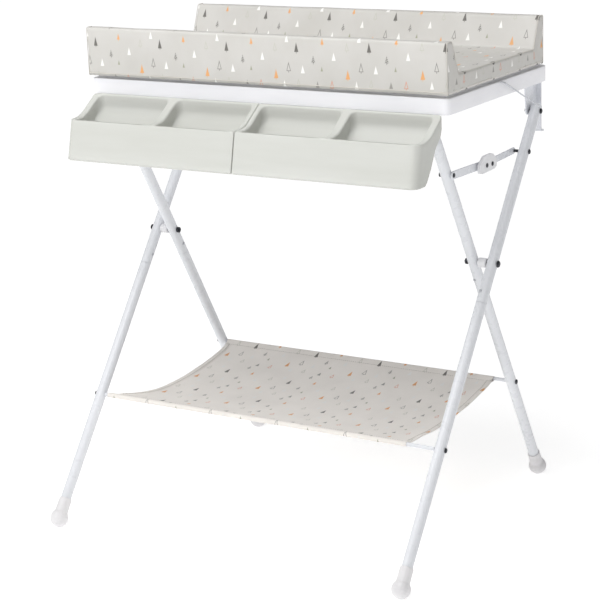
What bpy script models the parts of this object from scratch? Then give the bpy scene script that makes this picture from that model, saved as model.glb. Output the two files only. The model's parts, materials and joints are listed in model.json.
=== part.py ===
"""Folding changing table: X-frame of round steel tubes, moulded table top with a raised-side mat,
two hanging storage bins and a fabric shelf.  Metres, +Z up, front towards -Y, origin on the floor
under the middle of the object."""
import math

import bmesh
import bpy
from mathutils import Matrix, Vector

for old in list(bpy.data.objects):
    bpy.data.objects.remove(old, do_unlink=True)

# ---------------------------------------------------------------- driving dimensions
TUBE_R = 0.011          # leg tubes, outside radius
BORE_R = 0.0098         # bore of an upper tube, which takes the neck of the lower tube
NECK_R = 0.0093
OUTER_X = 0.392         # centre line of the outer legs
INNER_X = 0.352         # centre line of the inner legs
PIVOT = (0.0480, 0.5360)            # y, z of the bolts where the legs cross
OUTER_FOOT = (-0.3472, 0.0180)      # y, z of the ball centres
INNER_FOOT = (0.3472, 0.0180)
BALL_R = 0.0188
HINGE_S = 0.3313        # distance from the leg crossing up to the table-top hinge
OUTER_SEAM, OUTER_SNAP = 0.084, 0.062
INNER_SEAM, INNER_SNAP = 0.062, 0.040
BAR = (-0.1243, 0.8343)             # y, z of the front cross bar
BEND_R = 0.045
FRONT_ROD_Z, REAR_ROD_Z = 0.2332, 0.2447
ROD_R = 0.0040
BRACE_F = (-0.0629, 0.7280)         # front bar's rivet on the inner leg
BRACE_C = (0.0592, 0.7245)          # middle rivet
BRACE_C2 = (0.0830, 0.7235)         # second rivet of the lock cover
BRACE_R = (0.1945, 0.7280)          # rear bar's rivet on the outer leg
TOP_X, TOP_Y0, TOP_Y1 = 0.399, -0.1400, 0.2980
TOP_Z0, TOP_Z1 = 0.8560, 0.8890
TOP_WALL, DECK = 0.0032, 0.0040
MAT_X, MAT_Y0, MAT_Y1 = 0.400, -0.1480, 0.2740
MAT_Z0, PAD_Z, MAT_Z1 = 0.8895, 0.9240, 0.9870
WEDGE_BASE, WEDGE_TOP = 0.0485, 0.0230
BIN_X = 0.3885
CLEAR = 0.0003          # gap between pieces that touch
HOLE = 0.0033           # clearance hole for the 6 mm bolts and rivets
SHANK = 0.0030
ROUND = 18              # sides of a turned piece

# ---------------------------------------------------------------- collections and materials
scene = bpy.context.scene
parts = bpy.data.collections.new("changing_table")
cutters = bpy.data.collections.new("cutters")
scene.collection.children.link(parts)
scene.collection.children.link(cutters)


def material(name, colour, rough, metal=0.0):
    m = bpy.data.materials.new(name)
    m.use_nodes = True
    b = m.node_tree.nodes["Principled BSDF"]
    b.inputs["Base Color"].default_value = (*colour, 1.0)
    b.inputs["Roughness"].default_value = rough
    b.inputs["Metallic"].default_value = metal
    m.diffuse_color = (*colour, 1.0)
    return m


LOOKS = {
    "tube": ((0.80, 0.81, 0.84), 0.30, 0.0),
    "top": ((0.86, 0.86, 0.87), 0.38, 0.0),
    "bin": ((0.71, 0.71, 0.65), 0.42, 0.0),
    "foot": ((0.74, 0.73, 0.75), 0.45, 0.0),
    "bolt": ((0.10, 0.10, 0.11), 0.35, 1.0),
    "steel": ((0.62, 0.63, 0.65), 0.30, 1.0),
    "plate": ((0.78, 0.79, 0.82), 0.32, 0.0),
    "spacer": ((0.85, 0.85, 0.86), 0.40, 0.0),
    "mat": ((0.66, 0.63, 0.59), 0.45, 0.0),
    "shelf": ((0.60, 0.57, 0.53), 0.60, 0.0),
}


def finish(obj, look):
    colour, rough, metal = LOOKS[look]
    obj.data.materials.clear()
    obj.data.materials.append(material(obj.name + "_mat", colour, rough, metal))
    obj.data.shade_smooth()
    if hasattr(obj.data, "set_sharp_from_angle"):
        obj.data.set_sharp_from_angle(angle=math.radians(35))
    return obj


def add(name, mesh, collection=parts):
    obj = bpy.data.objects.new(name, mesh)
    collection.objects.link(obj)
    if collection is cutters:
        obj.hide_render = True
        obj.display_type = "WIRE"
    return obj


# ---------------------------------------------------------------- building tools
def bake(obj):
    """The object's evaluated mesh, welded, on a plain object of the same name and place."""
    bpy.context.view_layer.update()
    name, place = obj.name, obj.matrix_world.copy()
    home = obj.users_collection[0]
    mesh = bpy.data.meshes.new_from_object(obj.evaluated_get(bpy.context.evaluated_depsgraph_get()))
    bpy.data.objects.remove(obj, do_unlink=True)
    bm = bmesh.new()
    bm.from_mesh(mesh)
    bmesh.ops.remove_doubles(bm, verts=bm.verts, dist=0.00002)
    bmesh.ops.recalc_face_normals(bm, faces=bm.faces)
    bm.to_mesh(mesh)
    bm.free()
    mesh.name = name
    new = add(name, mesh, home)
    new.matrix_world = place
    return new


def turned(name, profile, place, steps=ROUND, collection=parts):
    """A profile of (radius, height) run top to bottom, turned about local Z."""
    bm = bmesh.new()
    verts = [bm.verts.new((r, 0.0, z)) for r, z in profile]
    for a, b in zip(verts, verts[1:]):
        bm.edges.new((a, b))
    mesh = bpy.data.meshes.new(name)
    bm.to_mesh(mesh)
    bm.free()
    obj = add(name, mesh, collection)
    s = obj.modifiers.new("turn", "SCREW")
    s.axis = "Z"
    s.angle = math.tau
    s.steps = s.render_steps = steps
    s.use_merge_vertices = True
    s.merge_threshold = 0.00001
    s.use_smooth_shade = True
    obj.matrix_world = place
    return bake(obj)


def outline(name, points, thick, place, collection=parts):
    """A flat outline in local XY, filled and extruded to a plate centred on local Z."""
    curve = bpy.data.curves.new(name, "CURVE")
    curve.dimensions = "2D"
    curve.fill_mode = "BOTH"
    curve.extrude = thick / 2
    s = curve.splines.new("POLY")
    s.points.add(len(points) - 1)
    for p, (x, y) in zip(s.points, points):
        p.co = (x, y, 0.0, 1.0)
    s.use_cyclic_u = True
    obj = add(name, curve, collection)
    obj.matrix_world = place
    return bake(obj)


def side_plate(name, points, x0, x1, collection=parts):
    """An outline given as (y, z), standing in the YZ plane from x0 to x1."""
    place = Matrix(((0, 0, 1, (x0 + x1) / 2), (1, 0, 0, 0), (0, 1, 0, 0), (0, 0, 0, 1)))
    return outline(name, points, abs(x1 - x0), place, collection)


def flat_plate(name, points, z0, z1, collection=parts):
    """An outline given as (x, y), lying flat from z0 to z1."""
    return outline(name, points, z1 - z0, Matrix.Translation((0, 0, (z0 + z1) / 2)), collection)


def lean(obj, at=0.8165):
    """The front of an upright plate leans out below the rim's height, and back above it."""
    for v in obj.data.vertices:
        w = obj.matrix_world @ v.co
        if w.y < -0.19:
            v.co.y += (w.z - at) * LEAN
    return obj


def block(name, x0, x1, y0, y1, z0, z1, collection=parts):
    bm = bmesh.new()
    bmesh.ops.create_cube(bm, size=1.0)
    size = Matrix.Diagonal((x1 - x0, y1 - y0, z1 - z0, 1.0))
    bm.transform(Matrix.Translation(((x0 + x1) / 2, (y0 + y1) / 2, (z0 + z1) / 2)) @ size)
    mesh = bpy.data.meshes.new(name)
    bm.to_mesh(mesh)
    bm.free()
    return add(name, mesh, collection)


def along(start, direction):
    """A place whose local Z runs along direction."""
    return Matrix.Translation(start) @ Vector(direction).to_track_quat("Z", "Y").to_matrix().to_4x4()


def drill(start, end, r, sides=10):
    """A cylindrical cutter from start to end."""
    a, b = Vector(start), Vector(end)
    bm = bmesh.new()
    bmesh.ops.create_cone(bm, cap_ends=True, segments=sides, radius1=r, radius2=r, depth=(b - a).length)
    mesh = bpy.data.meshes.new("drill")
    bm.to_mesh(mesh)
    bm.free()
    obj = add("drill", mesh, cutters)
    obj.matrix_world = along((a + b) / 2, b - a)
    return obj


def combine(obj, others, operation="DIFFERENCE"):
    for other in others:
        b = obj.modifiers.new(operation.lower(), "BOOLEAN")
        b.operation = operation
        b.solver = "EXACT"
        b.object = other
    obj = bake(obj)
    for other in others:
        bpy.data.objects.remove(other, do_unlink=True)
    return obj


def bevel(obj, width, segments=2, angle=35):
    b = obj.modifiers.new("bevel", "BEVEL")
    b.width = width
    b.segments = segments
    b.limit_method = "ANGLE"
    b.angle_limit = math.radians(angle)
    b.use_clamp_overlap = True
    return obj


def rounded(points, radii, seg=4):
    """The polygon's points with each corner rounded by its radius."""
    out = []
    n = len(points)
    for i, p in enumerate(points):
        r = radii[i] if isinstance(radii, (list, tuple)) else radii
        p = Vector(p)
        if r <= 0:
            out.append(tuple(p))
            continue
        u = (Vector(points[i - 1]) - p).normalized()
        v = (Vector(points[(i + 1) % n]) - p).normalized()
        half = math.acos(max(-1.0, min(1.0, u.dot(v)))) / 2
        cut = r / math.tan(half)
        centre = p + (u + v).normalized() * (r / math.sin(half))
        a, b = p + u * cut - centre, p + v * cut - centre
        sweep = a.angle_signed(b)
        for k in range(seg + 1):
            t = -sweep * k / seg
            out.append(tuple(centre + Vector((a.x * math.cos(t) - a.y * math.sin(t), a.x * math.sin(t) + a.y * math.cos(t)))))
    return out


def stadium(a, b, r, seg=6):
    """The outline of a bar with round ends, from a to b."""
    a, b = Vector(a), Vector(b)
    base = math.atan2((b - a).y, (b - a).x)
    out = [tuple(b + Vector((math.cos(base - math.pi / 2 + math.pi * k / seg), math.sin(base - math.pi / 2 + math.pi * k / seg))) * r) for k in range(seg + 1)]
    out += [tuple(a + Vector((math.cos(base + math.pi / 2 + math.pi * k / seg), math.sin(base + math.pi / 2 + math.pi * k / seg))) * r) for k in range(seg + 1)]
    return out


def tube_mesh(name, points, r, sides=12, collection=parts):
    curve = bpy.data.curves.new(name, "CURVE")
    curve.dimensions = "3D"
    curve.bevel_depth = r
    curve.bevel_resolution = (sides - 4) // 2
    curve.use_fill_caps = True
    s = curve.splines.new("POLY")
    s.points.add(len(points) - 1)
    for p, co in zip(s.points, points):
        p.co = (*co, 1.0)
    return bake(add(name, curve, collection))


def pin(name, y, z, x0, x1, head0=None, head1=None, r=SHANK, look="bolt", steps=10):
    """A bolt or rivet along X from x0 to x1; a head is (radius, length) beyond that end."""
    lo, hi = min(x0, x1), max(x0, x1)
    h_lo, h_hi = (head0, head1) if x0 < x1 else (head1, head0)
    profile = []
    if h_hi:
        hr, hl = h_hi
        profile += [(0, hi + hl), (hr * 0.55, hi + hl), (hr * 0.88, hi + hl * 0.72), (hr, hi + hl * 0.3), (hr, hi), (r, hi)]
    else:
        profile += [(0, hi), (r, hi)]
    if h_lo:
        hr, hl = h_lo
        profile += [(r, lo), (hr, lo), (hr, lo - hl * 0.3), (hr * 0.88, lo - hl * 0.72), (hr * 0.55, lo - hl), (0, lo - hl)]
    else:
        profile += [(r, lo), (0, lo)]
    place = Matrix(((0, 0, 1, 0), (1, 0, 0, y), (0, 1, 0, z), (0, 0, 0, 1)))
    return finish(turned(name, profile, place, steps), look)


# ---------------------------------------------------------------- leg geometry
P = Vector((PIVOT[0], PIVOT[1]))
outer_down = (Vector(OUTER_FOOT) - P).normalized()      # y, z
inner_down = (Vector(INNER_FOOT) - P).normalized()
OUTER_LEN = (Vector(OUTER_FOOT) - P).length
INNER_LEN = (Vector(INNER_FOOT) - P).length


def on_outer(s, x):
    q = P + outer_down * s
    return Vector((x, q.x, q.y))


def on_inner(s, x):
    q = P + inner_down * s
    return Vector((x, q.x, q.y))


def at_height(down, z):
    return (P.y - z) / -down.y


HINGE = on_outer(-HINGE_S, OUTER_X)
FRONT_ROD_S = at_height(outer_down, FRONT_ROD_Z)
REAR_ROD_S = at_height(inner_down, REAR_ROD_Z)
FRONT_ROD_Y = on_outer(FRONT_ROD_S, 0).y
REAR_ROD_Y = on_inner(REAR_ROD_S, 0).y


def x_drill(p, x0, x1, r=HOLE):
    return drill((x0, p[0], p[1]), (x1, p[0], p[1]), r)


def lower_tube(name, down, x, length, seam, snap, snap_dir, rod_s):
    """A leg's lower half: it hangs below the leg crossing and its neck goes up into the upper half."""
    zs = -(seam + CLEAR)
    zn = -(seam - 0.0455)
    end = -(length - 0.0108)
    profile = [(0, zn), (NECK_R - 0.0012, zn), (NECK_R, zn - 0.0012), (NECK_R, zs), (TUBE_R - 0.0006, zs), (TUBE_R, zs - 0.0006), (TUBE_R, end), (0, end)]
    up = Vector((0, -down.x, -down.y))
    obj = turned(name, profile, along((x, P.x, P.y), up))
    q = P + down * snap
    c = Vector((x, q.x, q.y))
    side = Vector(snap_dir).normalized()
    rod = P + down * rod_s
    sx = 1 if x > 0 else -1
    return finish(combine(obj, [drill(c + side * 0.0020, c + side * 0.02, 0.0034),
                                x_drill(rod, x - 0.02, x + 0.02, 0.0028)]), "tube")


def foot(name, down, x, length):
    """A ball with a sleeve that the leg's end stands in; the floor side is worn flat."""
    centre = P + down * length
    place = along((x, centre.x, centre.y), (0, -down.x, -down.y))
    sleeve = 0.0136
    start = math.acos(sleeve / BALL_R)
    ball = [(BALL_R * math.cos(a), BALL_R * math.sin(a)) for a in (start - (start + math.pi / 2) * k / 7 for k in range(8))]
    ball[-1] = (0.0, -BALL_R)
    profile = [(0, 0.0103), (TUBE_R + 0.0004, 0.0103), (TUBE_R + 0.0004, 0.0415), (sleeve - 0.0012, 0.0415), (sleeve - 0.0004, 0.0400), (sleeve, ball[0][1] + 0.003)] + ball
    obj = turned(name, profile, place, 16)
    return finish(combine(obj, [block("floor_cut", x - 0.05, x + 0.05, centre.x - 0.05, centre.x + 0.05, -0.03, 0.0, cutters)]), "foot")


SIDES = (("right", 1), ("left", -1))
for side, sx in SIDES:
    # outer leg: table-top hinge at its top, front foot at its bottom
    up = Vector((0, -outer_down.x, -outer_down.y))
    profile = [(0, HINGE_S + 0.0125), (TUBE_R - 0.0015, HINGE_S + 0.0125), (TUBE_R, HINGE_S + 0.0110), (TUBE_R, -OUTER_SEAM), (BORE_R, -OUTER_SEAM),
               (BORE_R, -(OUTER_SEAM - 0.048)), (0, -(OUTER_SEAM - 0.048))]
    obj = turned("outer_leg_upper_" + side, profile, along((sx * OUTER_X, P.x, P.y), up))
    front = Vector((-0.30, -0.95, 0)) if sx > 0 else Vector((1, 0, 0))
    front = (front - up * front.dot(up)).normalized()
    c = on_outer(OUTER_SNAP, sx * OUTER_X)
    finish(combine(obj, [x_drill(PIVOT, sx * 0.375, sx * 0.41), x_drill((HINGE.y, HINGE.z), sx * 0.375, sx * 0.41),
                         x_drill(BRACE_R, sx * 0.375, sx * 0.41), drill(c + front * 0.004, c + front * 0.02, 0.0034)]), "tube")
    lower_tube("outer_leg_lower_" + side, outer_down, sx * OUTER_X, OUTER_LEN, OUTER_SEAM, OUTER_SNAP, front, FRONT_ROD_S)
    snap = [(0, 0.0133), (0.0014, 0.0131), (0.0025, 0.0124), (0.0030, 0.0112), (0.0030, 0.0050), (0, 0.0050)]
    finish(turned("outer_snap_button_" + side, snap, along(c, front), 12), "steel")
    foot("front_foot_" + side, outer_down, sx * OUTER_X, OUTER_LEN)

    # inner leg: its upper half is one tube with the cross bar, made below
    up = Vector((0, -inner_down.x, -inner_down.y))
    front = Vector((-0.30, -0.95, 0)) if sx > 0 else Vector((1, 0, 0))
    front = (front - up * front.dot(up)).normalized()
    c = on_inner(INNER_SNAP, sx * INNER_X)
    lower_tube("inner_leg_lower_" + side, inner_down, sx * INNER_X, INNER_LEN, INNER_SEAM, INNER_SNAP, front, REAR_ROD_S)
    finish(turned("inner_snap_button_" + side, snap, along(c, front), 12), "steel")
    foot("rear_foot_" + side, inner_down, sx * INNER_X, INNER_LEN)

    # leg crossing: bolt, spacer between the tubes, nut on the inside
    pin("pivot_bolt_" + side, PIVOT[0], PIVOT[1], sx * 0.3340, sx * (OUTER_X + TUBE_R + CLEAR), None, (0.0068, 0.0042))
    ring = [(HOLE, 0.0085), (0.0080, 0.0085), (0.0095, 0.0070), (0.0095, -0.0070), (0.0080, -0.0085), (HOLE, -0.0085), (HOLE, 0.0085)]
    finish(turned("pivot_spacer_" + side, ring, along((sx * 0.372, PIVOT[0], PIVOT[1]), (1, 0, 0)), 14), "spacer")
    nut = [(HOLE - 0.0001, 0.0026), (0.0052, 0.0026), (0.0062, 0.0018), (0.0062, -0.0026), (HOLE - 0.0001, -0.0026), (HOLE - 0.0001, 0.0026)]
    finish(turned("pivot_nut_" + side, nut, along((sx * 0.3380, PIVOT[0], PIVOT[1]), (-sx, 0, 0)), 12), "bolt")

# inner frame's upper half: two legs and the cross bar, bent from one tube
u = Vector((0, -inner_down.x, -inner_down.y))
path = [on_inner(INNER_SEAM, -INNER_X), on_inner(0.0, -INNER_X)]
for sx in (-1, 1):
    corner = Vector((sx * INNER_X, BAR[0], BAR[1]))
    centre = corner - u * BEND_R - Vector((sx * BEND_R, 0, 0))
    arc = [centre + Vector((sx * BEND_R * math.cos(a), 0, 0)) + u * BEND_R * math.sin(a) for a in (math.pi / 2 * k / 6 for k in range(7))]
    path += arc if sx < 0 else arc[::-1]
path += [on_inner(0.0, INNER_X), on_inner(INNER_SEAM, INNER_X)]
frame_tube = tube_mesh("inner_frame_upper", path, TUBE_R, ROUND)
cuts = []
for side, sx in SIDES:
    front = Vector((-0.30, -0.95, 0)) if sx > 0 else Vector((1, 0, 0))
    front = (front - u * front.dot(u)).normalized()
    c = on_inner(INNER_SNAP, sx * INNER_X)
    cuts += [drill(on_inner(INNER_SEAM + 0.01, sx * INNER_X), on_inner(INNER_SEAM - 0.048, sx * INNER_X), BORE_R, ROUND),
             x_drill(PIVOT, sx * 0.335, sx * 0.369), x_drill(BRACE_F, sx * 0.335, sx * 0.369), drill(c + front * 0.004, c + front * 0.02, 0.0034)]
finish(combine(frame_tube, cuts), "tube")

# ---------------------------------------------------------------- shelf rods and their screws
for name, y, z, half in (("front_shelf_rod", FRONT_ROD_Y, FRONT_ROD_Z, OUTER_X - TUBE_R - CLEAR), ("rear_shelf_rod", REAR_ROD_Y, REAR_ROD_Z, INNER_X - TUBE_R - CLEAR)):
    ring = [(0, half - 0.014), (0.0028, half - 0.014), (0.0028, half), (ROD_R, half), (ROD_R, -half), (0.0028, -half), (0.0028, -half + 0.014), (0, -half + 0.014)]
    finish(turned(name, ring, along((0, y, z), (1, 0, 0)), 12), "tube")
for side, sx in SIDES:
    pin("front_rod_screw_" + side, FRONT_ROD_Y, FRONT_ROD_Z, sx * (OUTER_X - TUBE_R - 0.012), sx * (OUTER_X + TUBE_R + CLEAR), None, (0.0052, 0.0026), r=0.0025)
    pin("rear_rod_screw_" + side, REAR_ROD_Y, REAR_ROD_Z, sx * (INNER_X - TUBE_R - 0.012), sx * (INNER_X + TUBE_R + CLEAR), None, (0.0052, 0.0026), r=0.0025)

# ---------------------------------------------------------------- table top
top_outline = rounded([(-TOP_X, TOP_Y0), (TOP_X, TOP_Y0), (TOP_X, TOP_Y1), (-TOP_X, TOP_Y1)], [0.012, 0.012, 0.020, 0.020], 5)
top = flat_plate("table_top", top_outline, TOP_Z0, TOP_Z1)
inner = rounded([(-TOP_X + TOP_WALL, TOP_Y0 + TOP_WALL), (TOP_X - TOP_WALL, TOP_Y0 + TOP_WALL), (TOP_X - TOP_WALL, TOP_Y1 - TOP_WALL), (-TOP_X + TOP_WALL, TOP_Y1 - TOP_WALL)], [0.009, 0.009, 0.017, 0.017], 5)
top = bake(bevel(top, 0.0022, 2, 50))
top = combine(top, [flat_plate("hollow", inner, TOP_Z0 - 0.01, TOP_Z1 - DECK, cutters)])
finish(top, "top")

for side, sx in SIDES:
    # saddle under the deck that sits over the cross bar
    x0 = sx * 0.185 - 0.014
    s = block("top_saddle_" + side, x0, x0 + 0.028, BAR[0] - 0.0093, BAR[0] + 0.0125, BAR[1] + 0.0045, TOP_Z1 - DECK - CLEAR)
    finish(combine(s, [drill((x0 - 0.01, BAR[0], BAR[1]), (x0 + 0.038, BAR[0], BAR[1]), TUBE_R + 0.0004, ROUND)]), "spacer")

    # rear bracket: a cheek that tapers down to the hinge bolt, and a narrow rear strip with a small foot
    cheek = side_plate("top_bracket_" + side, rounded([(0.229, 0.8553), (0.2345, 0.812), (0.2345, 0.7915), (0.2580, 0.7915), (0.2750, 0.806), (0.2860, 0.820), (0.2860, 0.8553)],
                                                      [0, 0.02, 0.009, 0.009, 0.02, 0, 0], 4), sx * 0.3764, sx * 0.3794)
    strip = block("strip", *sorted((sx * 0.3766, sx * 0.3892)), 0.2825, 0.2858, 0.7555, 0.8551)
    strip_foot = block("strip_foot", *sorted((sx * 0.3768, sx * 0.3925)), 0.2822, 0.2905, 0.7525, 0.7560)
    flange = block("flange", *sorted((sx * 0.3767, sx * 0.3890)), 0.2310, 0.2856, 0.8527, 0.8552)
    for extra in (strip, strip_foot, flange):
        cheek = combine(cheek, [extra], "UNION")
    finish(combine(cheek, [x_drill((HINGE.y, HINGE.z), sx * 0.37, sx * 0.385)]), "plate")
    pin("hinge_bolt_" + side, HINGE.y, HINGE.z, sx * 0.3700, sx * (OUTER_X + TUBE_R + CLEAR), None, (0.0056, 0.0030))
    nut = [(HOLE - 0.0001, 0.0022), (0.0046, 0.0022), (0.0056, 0.0014), (0.0056, -0.0022), (HOLE - 0.0001, -0.0022), (HOLE - 0.0001, 0.0022)]
    finish(turned("hinge_nut_" + side, nut, along((sx * 0.3738, HINGE.y, HINGE.z), (-sx, 0, 0)), 12), "bolt")

    # wire stay from the table top's side down to the hinge
    wx = sx * 0.4068
    stay = [(sx * 0.3996, 0.0720, 0.8830), (sx * 0.4022, 0.0725, 0.8828), (sx * 0.4050, 0.0742, 0.8820), (wx, 0.0790, 0.8800)]
    a, b = Vector((wx, 0.0790, 0.8800)), Vector((wx, 0.2300, 0.8130))
    stay += [tuple(a.lerp(b, k / 5)) for k in range(1, 6)]
    stay += [(wx, 0.2342, 0.8106), (wx, 0.2360, 0.8078)]
    finish(tube_mesh("stay_wire_" + side, stay, 0.0016, 8), "steel")

# ---------------------------------------------------------------- bins
RIM = [(-0.2370, 0.8165), (-0.2180, 0.8167), (-0.2050, 0.8185), (-0.1930, 0.8235), (-0.1830, 0.8300), (-0.1720, 0.8375), (-0.1620, 0.8440), (-0.1540, 0.8500), (-0.1470, 0.8544), (-0.1412, 0.8554)]
LOW = [(-0.1410, 0.8270), (-0.1690, 0.7990), (-0.1840, 0.7700), (-0.2080, 0.7380), (-0.2540, 0.7380)]
shell_outline = rounded(RIM + LOW, [0.002] + [0] * 8 + [0.002] + [0.012, 0.03, 0.02, 0.009, 0.006], 3)
pocket_outline = rounded([(-0.2325, 0.90), (-0.2325, 0.8165), (-0.2482, 0.7440), (-0.2110, 0.7440), (-0.1895, 0.7720), (-0.1745, 0.8000), (-0.1475, 0.8280), (-0.1475, 0.90)], [0, 0, 0.008, 0.008, 0.02, 0.03, 0.01, 0], 3)
LEAN = 0.2166           # how far the bins' front walls lean out, for each unit of height
DIVIDER = (0.1850, 0.2040)
END = 0.0150
for side, sx in SIDES:
    xs = sorted((sx * CLEAR * 1.5, sx * BIN_X))
    # seen from above, the shell is rounded at its free end and each pocket at all four corners
    r_out, r_mid = 0.0160, 0.0030
    corners = [r_mid, r_out, r_out * 0.7, r_mid] if sx > 0 else [r_out, r_mid, r_mid, r_out * 0.7]
    b = side_plate("bin_" + side, shell_outline, xs[0], xs[1])
    plan = [(xs[0], -0.2371), (xs[1], -0.2371), (xs[1], -0.1409), (xs[0], -0.1409)]
    b = combine(b, [lean(flat_plate("plan", rounded(plan, corners, 5), 0.73, 0.87, cutters))], "INTERSECT")
    for x0, x1 in ((CLEAR * 1.5 + END * 0.7, DIVIDER[0]), (DIVIDER[1], BIN_X - END)):
        q = sorted((sx * x0, sx * x1))
        plan = [(q[0], -0.2326), (q[1], -0.2326), (q[1], -0.1474), (q[0], -0.1474)]
        pocket = side_plate("pocket", pocket_outline, q[0], q[1], cutters)
        pocket = combine(pocket, [lean(flat_plate("pocket_plan", rounded(plan, 0.0090, 4), 0.73, 0.91, cutters))], "INTERSECT")
        b = combine(b, [pocket])
    b = bake(bevel(b, 0.0028, 2, 40))
    for x0 in (0.060, 0.285):
        # hook: from the rear wall over the front and top of the cross bar
        ri, ro = TUBE_R + 0.0005, 0.0138
        arc = [math.radians(180 - 5 - k * 11.5) for k in range(9)]
        hook = [(BAR[0] + ro * math.cos(a), BAR[1] + ro * math.sin(a)) for a in arc] + [(BAR[0] + ri * math.cos(a), BAR[1] + ri * math.sin(a)) for a in arc[::-1]]
        hook = [(-0.1440, 0.8300)] + [(-0.1440, 0.8440)] + hook[2:] + [(-0.1390, 0.8300)]
        q = sorted((sx * x0, sx * (x0 + 0.040)))
        b = combine(b, [side_plate("hook", hook, q[0], q[1])], "UNION")
    finish(b, "bin")

# ---------------------------------------------------------------- folding braces
for side, sx in SIDES:
    bar = side_plate("brace_front_bar_" + side, stadium(BRACE_F, BRACE_C, 0.0080), sx * 0.3646, sx * 0.3676)
    finish(combine(bake(bevel(bar, 0.0006, 1)), [x_drill(BRACE_F, sx * 0.36, sx * 0.37)]), "plate")
    bar = side_plate("brace_rear_bar_" + side, stadium((BRACE_C[0] - 0.003, BRACE_C[1]), BRACE_R, 0.0068), sx * 0.3684, sx * 0.3710)
    finish(combine(bake(bevel(bar, 0.0006, 1)), [x_drill(BRACE_R, sx * 0.36, sx * 0.375), x_drill(BRACE_C, sx * 0.36, sx * 0.375), x_drill(BRACE_C2, sx * 0.36, sx * 0.375)]), "plate")
    cover = rounded([(0.0290, 0.7140), (0.0290, 0.7290), (0.0480, 0.7440), (0.0860, 0.7440), (0.1030, 0.7300), (0.1030, 0.7150), (0.0920, 0.7120), (0.0400, 0.7110)],
                    [0.004, 0.008, 0.014, 0.014, 0.008, 0.004, 0.01, 0.01], 4)
    cover = side_plate("brace_lock_cover_" + side, cover, sx * 0.3713, sx * 0.3770)
    finish(combine(bake(bevel(cover, 0.0016, 2)), [x_drill(BRACE_C, sx * 0.36, sx * 0.38), x_drill(BRACE_C2, sx * 0.36, sx * 0.38)]), "spacer")
    pin("brace_middle_rivet_" + side, BRACE_C[0], BRACE_C[1], sx * 0.3681, sx * 0.3773, None, (0.0044, 0.0016))
    pin("brace_cover_rivet_" + side, BRACE_C2[0], BRACE_C2[1], sx * 0.3681, sx * 0.3773, None, (0.0044, 0.0016))
    pin("brace_front_rivet_" + side, BRACE_F[0], BRACE_F[1], sx * 0.3402, sx * 0.3679, (0.0052, 0.0024), (0.0046, 0.0014))
    pin("brace_rear_rivet_" + side, BRACE_R[0], BRACE_R[1], sx * 0.3681, sx * (OUTER_X + TUBE_R + CLEAR), (0.0046, 0.0014), (0.0050, 0.0022))

# ---------------------------------------------------------------- mat: a flat pad and two wedges
pad = block("mat_pad", -MAT_X, MAT_X, MAT_Y0, MAT_Y1, MAT_Z0, PAD_Z)
finish(bake(bevel(pad, 0.006, 3)), "mat")
for name, y_out, d in (("mat_wedge_front", MAT_Y0, 1), ("mat_wedge_rear", MAT_Y1, -1)):
    pts = rounded([(y_out, PAD_Z + CLEAR), (y_out + d * WEDGE_BASE, PAD_Z + CLEAR), (y_out + d * WEDGE_TOP, MAT_Z1), (y_out, MAT_Z1)], [0.0, 0.002, 0.008, 0.008], 4)
    finish(side_plate(name, pts, -MAT_X, MAT_X), "mat")

# ---------------------------------------------------------------- fabric shelf between the rods
SAG, SHELF_T = 0.022, 0.003
RIGHT_EDGE = [(0.0, 0.323), (0.3, 0.3225), (0.55, 0.3180), (0.87, 0.3200), (1.0, 0.3140)]    # share of the way back, x
LEFT_EDGE = [(0.0, 0.374), (0.08, 0.350), (0.16, 0.329), (0.25, 0.323), (0.55, 0.3235), (0.9, 0.3280), (1.0, 0.3385)]


def along_edge(table, t):
    for (a, p), (b, q) in zip(table, table[1:]):
        if t <= b:
            return p + (q - p) * (t - a) / (b - a)
    return table[-1][1]


bm = bmesh.new()
bmesh.ops.create_grid(bm, x_segments=2, y_segments=12, size=0.5)
y0, y1 = FRONT_ROD_Y + ROD_R + 0.0012, REAR_ROD_Y - ROD_R - 0.0012
for v in bm.verts:
    t = v.co.y + 0.5
    left, right = along_edge(LEFT_EDGE, t), along_edge(RIGHT_EDGE, t)
    v.co = Vector((-left + (left + right) * (v.co.x + 0.5), y0 + (y1 - y0) * t, FRONT_ROD_Z + (REAR_ROD_Z - FRONT_ROD_Z) * t - SAG * 4 * t * (1 - t)))
mesh = bpy.data.meshes.new("shelf_fabric")
bm.to_mesh(mesh)
bm.free()
shelf = add("shelf_fabric", mesh)
s = shelf.modifiers.new("thickness", "SOLIDIFY")
s.thickness = SHELF_T
s.offset = 0.0
finish(bake(shelf), "shelf")

bpy.context.view_layer.update()
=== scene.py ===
"""Looks of a folding changing table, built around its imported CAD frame.

Steel tubes, brackets and fasteners keep their CAD shape and get procedural materials. The padded mat, the fabric shelf,
the two storage bins and the moulded top are finer pieces that stand for their CAD nodes.
"""

import json
import math

import bmesh
import bpy
import numpy as np
from mathutils import Matrix, Vector, noise


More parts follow.
